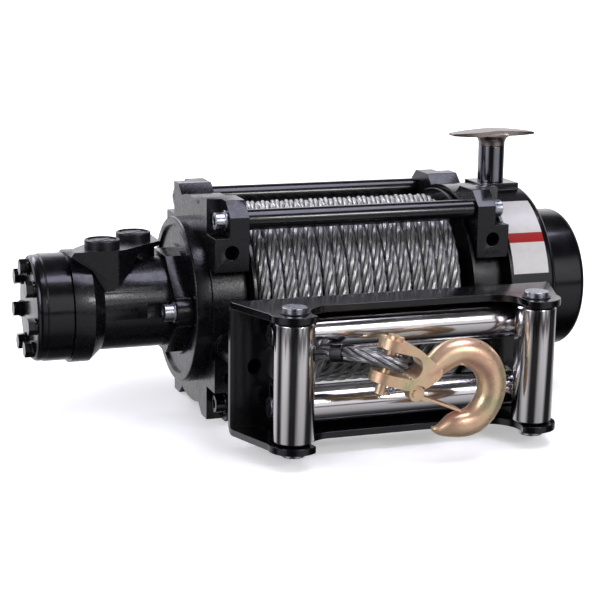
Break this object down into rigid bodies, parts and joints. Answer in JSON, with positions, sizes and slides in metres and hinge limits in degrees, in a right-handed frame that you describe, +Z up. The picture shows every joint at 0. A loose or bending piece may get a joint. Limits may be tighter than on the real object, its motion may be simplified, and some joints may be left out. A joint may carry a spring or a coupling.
{
  "type": "hydraulic winch",
  "caption": "Compact hydraulic rope winch: cast end housings and tie rods round a wound drum, orbital motor, clutch handle, four-way roller fairlead and clevis hook.",
  "frame": {"origin": "centre of the four mounting holes, on the flat front face of the two end housings", "axes": "+X along the drum from the motor to the gearbox, -Y out of the mounting face towards the fairlead, +Z up"},
  "size_m": [0.538, 0.3454, 0.2513],
  "materials": {
    "black_paint": "gloss black paint on cast and machined metal",
    "rope_steel": "bright galvanised steel wire rope",
    "stainless": "polished stainless steel",
    "zinc": "bright zinc plate",
    "yellow_zinc": "yellow zinc plate with a faint rainbow",
    "nickel": "satin nickel",
    "black_plastic": "black plastic"
  },
  "bodies": {
    "winch": {"motor_adapter_disc": "black_paint", "motor_valve_housing": "black_paint", "motor_gear_ring": "black_paint", "motor_end_cover": "black_paint", "motor_cover_bolts": "black_paint", "port_plug_front": "black_plastic", "port_plug_rear": "black_plastic", "motor_flange_screws": "zinc", "left_end_housing": "black_paint", "right_end_housing": "black_paint", "tie_rod_screws_left": "zinc", "tie_rod_screws_right": "zinc", "tie_rod_upper_front": "black_paint", "tie_rod_upper_rear": "black_paint", "tie_rod_lower_rear": "black_paint", "gear_housing": "black_paint", "gearbox_cover_ring": "black_paint", "gearbox_end_cap": "black_paint", "clutch_post": "black_paint", "fairlead_frame": "black_paint", "fairlead_spacers": "black_paint", "upright_pin_left": "zinc", "upright_pin_right": "zinc", "level_pin_upper": "zinc", "level_pin_lower": "zinc", "rope_tail": "rope_steel", "rope_eye": "rope_steel", "rope_ferrule": "zinc"},
    "drum_and_rope": {"drum": "black_paint", "rope_pack": "rope_steel"},
    "upright_roller_left": {"upright_roller_left": "stainless"},
    "upright_roller_right": {"upright_roller_right": "stainless"},
    "level_roller_upper": {"level_roller_upper": "stainless"},
    "level_roller_lower": {"level_roller_lower": "stainless"},
    "clutch_handle": {"clutch_handle": "nickel"},
    "hook": {"hook_body": "yellow_zinc", "clevis_pin": "yellow_zinc", "split_pin": "zinc", "latch_pin": "yellow_zinc"},
    "hook_latch": {"hook_latch": "yellow_zinc"}
  },
  "joints": [
    {"name": "drum_spin", "type": "hinge", "parent": "winch", "child": "drum_and_rope", "pos_m": [0, 0.082, 0], "axis": [1, 0, 0], "continuous": true},
    {"name": "upright_roller_left_spin", "type": "hinge", "parent": "winch", "child": "upright_roller_left", "pos_m": [-0.1107, -0.123, -0.029], "axis": [0, 0, 1], "continuous": true},
    {"name": "upright_roller_right_spin", "type": "hinge", "parent": "winch", "child": "upright_roller_right", "pos_m": [0.1107, -0.123, -0.029], "axis": [0, 0, 1], "continuous": true},
    {"name": "level_roller_upper_spin", "type": "hinge", "parent": "winch", "child": "level_roller_upper", "pos_m": [0, -0.0867, 0.003], "axis": [1, 0, 0], "continuous": true},
    {"name": "level_roller_lower_spin", "type": "hinge", "parent": "winch", "child": "level_roller_lower", "pos_m": [0, -0.0867, -0.061], "axis": [1, 0, 0], "continuous": true},
    {"name": "clutch_turn", "type": "hinge", "parent": "winch", "child": "clutch_handle", "pos_m": [0.1615, 0.082, 0.134], "axis": [0, 0, 1], "range_deg": [0, 90]},
    {"name": "hook_swing", "type": "hinge", "parent": "winch", "child": "hook", "pos_m": [-0.0376, -0.152, -0.009], "axis": [-0.2874, 0, -0.9578], "range_deg": [-8, 60]},
    {"name": "latch_open", "type": "hinge", "parent": "hook", "child": "hook_latch", "pos_m": [-0.01446, -0.152, -0.03766], "axis": [0, -1, 0], "range_deg": [0, 22], "stiffness_Nm_per_rad": 0.03, "springref_deg": -28.65}
  ]
}
